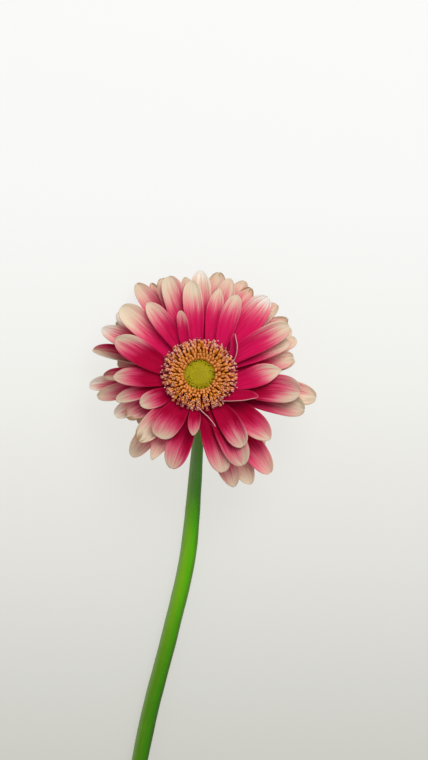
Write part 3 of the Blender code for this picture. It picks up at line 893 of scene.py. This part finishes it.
# %% [markdown]
# ## The fleshy base
#
# Petals and florets all sit on one fleshy base. It is almost hidden, but from the side a gap would show
# between the rows of petals. A turned profile closes it, stepping in from row to row.

# %% The base
BASE_OUTLINE = (
    # radius and height, in mm
    (0, -1), (12.7, -0.6), (12.8, 2.4), (12.0, 2.7), (12.0, 3.9), (11.2, 4.3), (11.2, 6.4),
    (10.6, 6.8), (10.6, 7.6), (9.5, 8.2), (0, 8.3),
)


def base_finish():
    finish = Finish("petal_base", roughness=0.6)
    grain = finish.clouds(finish.object_place(), 700.0, 3.0)
    return finish.wear(finish.blend(grain, (0.16, 0.0, 0.02), (0.34, 0.01, 0.05)), None, grain, 0.1 * MM)


to_piece(turned(BASE_OUTLINE, 48), "petal_base", base_finish(), "calyx", HEAD)

# %% [markdown]
# ## The calyx: a cup of bracts
#
# Under the head is a shallow cup of overlapping green bracts, which wrapped the bud before it opened.
# The cup is a curve turned round the axis. Each bract is a small pointed leaf, laid on the cup's side by
# the same curve, hollowed a little and lifted at its tip, so one helper serves both.

# %% The cup
CALYX_RADIUS = 13.0 * MM
RIM_DROP = 1.0 * MM
CUP_STEPS = 14
GREEN_VEINS = [(0.3, (0.05, 0.11, 0.01)), (0.7, (0.16, 0.27, 0.05))]
BRACT_TIP = (0.13, 0.04, 0.03)
BRACT_EDGE = (0.28, 0.36, 0.12)


def cup_side(share):
    """(radius, height) of the cup's outside, from its foot at 0 to its rim at 1."""
    foot = NECK_HALF * 1.25
    radius = foot + (CALYX_RADIUS - foot) * math.sin(share * math.pi / 2) ** 0.8
    return radius, (CALYX_DEPTH - RIM_DROP) * share**1.25 - CALYX_DEPTH


def cup_mesh():
    side = [cup_side(i / CUP_STEPS) for i in range(CUP_STEPS + 1)]
    outline = [(0, -CALYX_DEPTH / MM)] + [(r / MM, h / MM) for r, h in side]
    return turned(outline + [(12.0, -0.5), (0, -0.5)], 56, "across", "along", "number")


def calyx_finish():
    finish = Finish("calyx_green", roughness=0.55, specular_ior_level=0.35, sheen_weight=0.2)
    along, across = finish.trait("along"), finish.trait("across")
    grain = finish.clouds(finish.object_place(), 500.0, 3.0)
    ribs = finish.clouds(finish.place(across * 5, along * 1.5, finish.trait("number")), 1.0, 2.0)
    colour = finish.ramp(ribs + 0.3 * (grain - 0.5), GREEN_VEINS)
    colour = finish.blend(along.between(0.75, 1.0) * 0.6, colour, BRACT_TIP)
    colour = finish.blend(abs(across).between(0.75, 1.0) * 0.5, colour, BRACT_EDGE)
    return finish.wear(colour, 0.45 + 0.25 * grain, ribs + 0.5 * grain, 0.15 * MM)


CALYX_FINISH = calyx_finish()
to_piece(cup_mesh(), "calyx_cup", CALYX_FINISH, "calyx", HEAD)

# %% Bracts on the cup
# Each row: how many bracts, and the share of the cup's side where they start and end.
BRACT_ROWS = ((12, 0.05, 0.62), (14, 0.22, 0.88), (16, 0.42, 0.98))
BRACT_WIDTH = 2.9 * MM
BRACT_WALL = 0.35 * MM


def bract(bm, azimuth, start, end):
    """One pointed bract, laid on the cup's side by the cup's own curve."""
    made = bmesh.ops.create_grid(bm, x_segments=4, y_segments=10, size=1)["verts"]
    number = random.uniform(0, 50)
    for v in made:
        across, along = v.co.x, (v.co.y + 1) / 2
        radius, height = cup_side(start + (end - start) * along)
        half = BRACT_WIDTH / 2 * (0.75 + 0.5 * along) * max(1 - along**3, 0.06)
        out = (0.15 + 0.3 * along + 0.3 * along**4 - 0.25 * across**2) * MM
        v.co = (radius + out, across * half, height - out)
        set_trait(bm, [v], across=across, along=along, number=number)
    bmesh.ops.rotate(bm, verts=made, matrix=Matrix.Rotation(azimuth, 3, "Z"))
    faces = list({face for v in made for face in v.link_faces})
    bmesh.ops.solidify(bm, geom=faces, thickness=-BRACT_WALL)


bm = new_mesh("across", "along", "number")
for row, (count, start, end) in enumerate(BRACT_ROWS):
    for i in range(count):
        azimuth = math.tau * (i + 0.5 * (row % 2)) / count + row
        bract(bm, azimuth, start, end)
bmesh.ops.recalc_face_normals(bm, faces=bm.faces)
to_piece(bm, "bracts", CALYX_FINISH, "calyx", HEAD)
print("bracts:", sum(row[0] for row in BRACT_ROWS))

# %% [markdown]
# ## The stem
#
# A gerbera's stem is leafless, a little ribbed, and covered in fine hairs. It lies on the table along a
# smooth curve through a few points, then bends up into the head. A curve object with a round section
# would do too, but here a ring is extruded from station to station, so that every point knows how far
# along and how far round the stem it is, and the ribs and colours can follow.

# %% The stem's route
STEM_SIDES = 36
STEM_HALF = 3.75 * MM
CUT_HALF = 3.6 * MM
STEM_ROUTE = (
    (0, 4), (-2.1, -25), (-5.6, -60), (-14, -96), (-23.4, -133), (-32, -178), (-40, -233), (-44, -298),
)
STEPS_PER_SPAN = 14
NECK_STEPS = 22


def route_point(span, t):
    """A point of the smooth curve through STEM_ROUTE, with t from 0 to 1 over one span."""
    last = len(STEM_ROUTE) - 1
    first = Vector(STEM_ROUTE[span])
    second = Vector(STEM_ROUTE[span + 1])
    before = Vector(STEM_ROUTE[span - 1]) if span else first * 2 - second
    after = Vector(STEM_ROUTE[span + 2]) if span + 2 <= last else second * 2 - first
    point = first * 2 + (second - before) * t
    point += (before * 2 - first * 5 + second * 4 - after) * t**2
    point += (first * 3 - before - second * 3 + after) * t**3
    return point * 0.5 * MM


def stem_half(share):
    """Half the stem's width at a share of the way from the neck to the cut."""
    swell = NECK_HALF + (STEM_HALF - NECK_HALF) * smoothly(share / 0.3)
    return swell + (CUT_HALF - STEM_HALF) * smoothly((share - 0.5) / 0.5)


def stem_stations():
    """(centre, direction of growth, half width) from the cut end to the calyx."""
    spans = len(STEM_ROUTE) - 1
    flat = []
    for i in range(spans * STEPS_PER_SPAN):
        flat.append(route_point(i // STEPS_PER_SPAN, i % STEPS_PER_SPAN / STEPS_PER_SPAN))
    flat.append(route_point(spans - 1, 1.0))
    stations = []
    for i in reversed(range(1, len(flat))):
        half = stem_half(i / (len(flat) - 1))
        grows = flat[i - 1] - flat[min(i + 1, len(flat) - 1)]
        stations.append((Vector((*flat[i], half)), Vector((*grows, 0)).normalized(), half))
    for step in range(NECK_STEPS + 1):
        turn = NECK_TURN * step / NECK_STEPS
        grows = LEAN_WAY * math.cos(turn) + UP * math.sin(turn)
        stations.append((neck_point(turn), grows, NECK_HALF))
    return stations


def station_matrix(centre, grows, half):
    """Sets a unit ring across the stem at a station."""
    aside = grows.cross(UP).normalized()
    over = aside.cross(grows)
    turn = Matrix((aside, over, grows)).transposed().to_4x4()
    return Matrix.Translation(centre) @ turn @ Matrix.Scale(half, 4)


STATIONS = stem_stations()
LENGTHS = [0.0]
for before, here in zip(STATIONS, STATIONS[1:]):
    LENGTHS.append(LENGTHS[-1] + (here[0] - before[0]).length)
print("stem length, mm:", round(LENGTHS[-1] / MM))

# %% The stem's skin
RIDGES = 9  # round the stem
RIDGE_HEIGHT = 0.09  # in mm, as are the next two
LUMPS = 0.12
SUNK = 0.1  # how far the skin is drawn in, to make room for its ridges and lumps
TABLE_GAP = 0.02 * MM


def stem_mesh():
    bm = new_mesh("along", "round", "cut", "side")
    along, turn, cut, side = (bm.verts.layers.float[name] for name in ("along", "round", "cut", "side"))
    matrices = [station_matrix(*station) for station in STATIONS]
    bmesh.ops.create_circle(bm, cap_ends=True, radius=1, segments=STEM_SIDES)
    for v in bm.verts:
        v[turn] = math.atan2(v.co.y, v.co.x)
        # How far across the ring each point is, which the finish turns into painted light and shade on the
        # stem's two sides.
        v[side] = v.co.x
        v[cut] = 1.0
    bmesh.ops.transform(bm, matrix=matrices[0], verts=bm.verts)
    end = bm.verts[:] + bm.edges[:] + bm.faces[:]
    for before, here, length in zip(matrices, matrices[1:], LENGTHS[1:]):
        end = bmesh.ops.extrude_face_region(bm, geom=end)["geom"]
        moved = [v for v in end if isinstance(v, bmesh.types.BMVert)]
        bmesh.ops.transform(bm, matrix=here @ before.inverted(), verts=moved)
        for v in moved:
            v[along] = length / LENGTHS[-1]
            v[cut] = 0.0
    bmesh.ops.recalc_face_normals(bm, faces=bm.faces)
    bm.normal_update()
    for v in bm.verts:
        ridges = math.cos(v[turn] * RIDGES) * RIDGE_HEIGHT + LUMPS * noise.noise(v.co * 120)
        v.co += v.normal * (ridges - SUNK) * MM * smoothly(v[along] / 0.01)
        v.co.z = max(v.co.z, TABLE_GAP)
    return bm


STEM_COLOURS = [
    # from the cut end to the neck, darker towards the cut end; near the neck it is greyer from its down and
    # lighter as painted light where the head shades it
    (0.0, (0.06, 0.17, 0.003)), (0.54, (0.062, 0.19, 0.003)), (0.60, (0.08, 0.22, 0.003)),
    (0.70, (0.14, 0.35, 0.005)), (0.755, (0.155, 0.40, 0.005)), (0.80, (0.115, 0.37, 0.01)),
    (0.84, (0.12, 0.31, 0.06)), (0.87, (0.16, 0.36, 0.12)), (1.0, (0.14, 0.29, 0.10)),
]
STEM_STREAK = (0.14, 0.30, 0.015)
PAINTED_LIGHT_SIDE = (0.23, 0.36, 0.11)
CUT_PITH = (0.42, 0.46, 0.20)


def stem_finish():
    finish = Finish("stem_green", roughness=0.5, specular_ior_level=0.1)
    along, around, cut = finish.trait("along"), finish.trait("round"), finish.trait("cut")
    mottle = finish.clouds(finish.object_place(), 160.0, 4.0, 0.6)
    streak = finish.clouds(finish.place(around * 4, along * 25), 1.0, 3.0)
    colour = finish.ramp(along + 0.06 * (mottle - 0.5), STEM_COLOURS)
    colour = finish.blend(streak.between(0.45, 0.75) * 0.25, colour, STEM_STREAK)
    # Painted light and shade: the stem is lighter and paler on one side and darker on the other, as if lit
    # from that side.
    side = finish.trait("side") + 0.5 * (streak - 0.5)
    colour = finish.blend((0.0 - side).between(0.3, 1.0) * 0.7, colour, PAINTED_LIGHT_SIDE)
    colour = finish.tint(side.between(-0.2, 0.45), colour, (0.55, 1.0, 0.3))
    colour = finish.tint(side.between(0.45, 0.95), colour, (0.9, 0.55, 2.0))
    colour = finish.blend(cut, colour, CUT_PITH)
    return finish.wear(colour, 0.35 + 0.3 * mottle, streak + 0.5 * mottle, 0.1 * MM)


to_piece(stem_mesh(), "stem_skin", stem_finish(), "stem")

# %% [markdown]
# Close up, a gerbera's stem is downy. A hair system grows strands, which are no mesh, so each hair here is
# a real three-sided spike of a few faces, rooted in the skin at a random station and turn. None is put
# on the underside, where the stem lies on the table.

# %% Hairs
HAIR_TRIES = 1400
UNDERSIDE_FROM = -0.4  # the sine of the turn below which a hair would be crushed


def stem_hairs():
    bm = new_mesh()
    for _ in range(HAIR_TRIES):
        number = random.randrange(4, len(STATIONS) - 2)
        centre, grows, half = STATIONS[number]
        spin = random.uniform(0, math.tau)
        length = random.uniform(0.5, 1.1) * MM
        if math.sin(spin) < UNDERSIDE_FROM and grows.z < 0.3:
            continue
        place = station_matrix(centre, grows, 1.0) @ Matrix.Rotation(spin, 4, "Z")
        place @= Matrix.Translation((half * 0.97, 0, random.uniform(-2, 2) * MM))
        place @= Matrix.Rotation(math.pi / 2 + random.uniform(-0.6, 0.3), 4, "Y")
        place @= Matrix.Translation((0, 0, length / 2))
        bmesh.ops.create_cone(
            bm, cap_ends=True, segments=3, radius1=0.035 * MM, radius2=0.01 * MM, depth=length, matrix=place
        )
    return bm


def hair_finish():
    finish = Finish("hair", roughness=0.6)
    grain = finish.clouds(finish.object_place(), 300.0, 1.0)
    return finish.wear(finish.blend(grain, (0.35, 0.42, 0.22), (0.55, 0.60, 0.42)))


to_piece(stem_hairs(), "stem_hairs", hair_finish(), "stem")

# %% [markdown]
# ## Table, light and camera
#
# The flower lies on a plain pale sheet. To keep its shade even, most of its brightness is a painted glow
# of its own, looked up in a ramp that darkens from beyond the head to the stem's end, as painted light
# falling off. A wide soft light and a bright surround then model the flower and keep its shadow faint.
# The camera looks straight down from well above, through a long lens, so that the head keeps its shape.

# %% The sheet
SHEET_HALF = 4  # in metres
GLOW_FROM = -0.3  # where the ramp starts along Y, in metres
GLOW_LENGTH = 0.6
GLOW = [
    (0.25, (0.49, 0.49, 0.445)), (0.33, (0.565, 0.56, 0.525)), (0.40, (0.635, 0.63, 0.595)),
    (0.47, (0.69, 0.685, 0.65)), (0.53, (0.745, 0.745, 0.705)), (0.60, (0.775, 0.775, 0.755)),
    (0.67, (0.805, 0.805, 0.79)), (0.82, (0.815, 0.815, 0.80)),
]
sheet_bm = bmesh.new()
bmesh.ops.create_grid(sheet_bm, x_segments=1, y_segments=1, size=SHEET_HALF)
sheet_mesh = bpy.data.meshes.new("sheet")
sheet_bm.to_mesh(sheet_mesh)
sheet_bm.free()
sheet = bpy.data.objects.new("sheet", sheet_mesh)
bpy.context.scene.collection.objects.link(sheet)
sheet_finish = Finish(
    "sheet", roughness=0.9, specular_ior_level=0.1, base_color=(0.12, 0.12, 0.118, 1), emission_strength=1.0
)
along = sheet_finish.node("SeparateXYZ", None, {0: sheet_finish.object_place()}, "Y")
glow = sheet_finish.ramp((along - GLOW_FROM) / GLOW_LENGTH, GLOW)
sheet_finish.plug(sheet_finish.shader.inputs["Emission Color"], glow)
sheet_mesh.materials.append(sheet_finish.material)
print("sheet, m across:", 2 * SHEET_HALF)


# %% Light
def soft_light(name, place, target, size, power):
    """A square lamp at a place, facing a target."""
    light = bpy.data.lights.new(name, "AREA")
    light.size = size
    light.energy = power
    made = bpy.data.objects.new(name, light)
    made.location = place
    made.rotation_euler = (Vector(target) - Vector(place)).to_track_quat("-Z", "Y").to_euler()
    bpy.context.scene.collection.objects.link(made)


soft_light("window", place=(0.35, 0.80, 1.00), target=(0, 0.02, 0), size=0.9, power=14)
SURROUND = 0.55  # the strength of the light from all round
world = bpy.data.worlds.new("surround")
world.use_nodes = True
background = world.node_tree.nodes["Background"]
background.inputs["Color"].default_value = (1, 1, 1, 1)
background.inputs["Strength"].default_value = SURROUND
bpy.context.scene.world = world
print("surround strength:", SURROUND)

# %% Camera
CAMERA_PLACE = Vector((6.59, 20.99, 1900)) * MM
lens = bpy.data.cameras.new("camera")
lens.lens = 199.7
lens.sensor_width = 36
lens.clip_end = 20
camera = bpy.data.objects.new("camera", lens)
camera.location = CAMERA_PLACE
bpy.context.scene.collection.objects.link(camera)
bpy.context.scene.camera = camera
bpy.context.scene.view_settings.view_transform = "Standard"
print("camera height, m:", round(CAMERA_PLACE.z, 2))
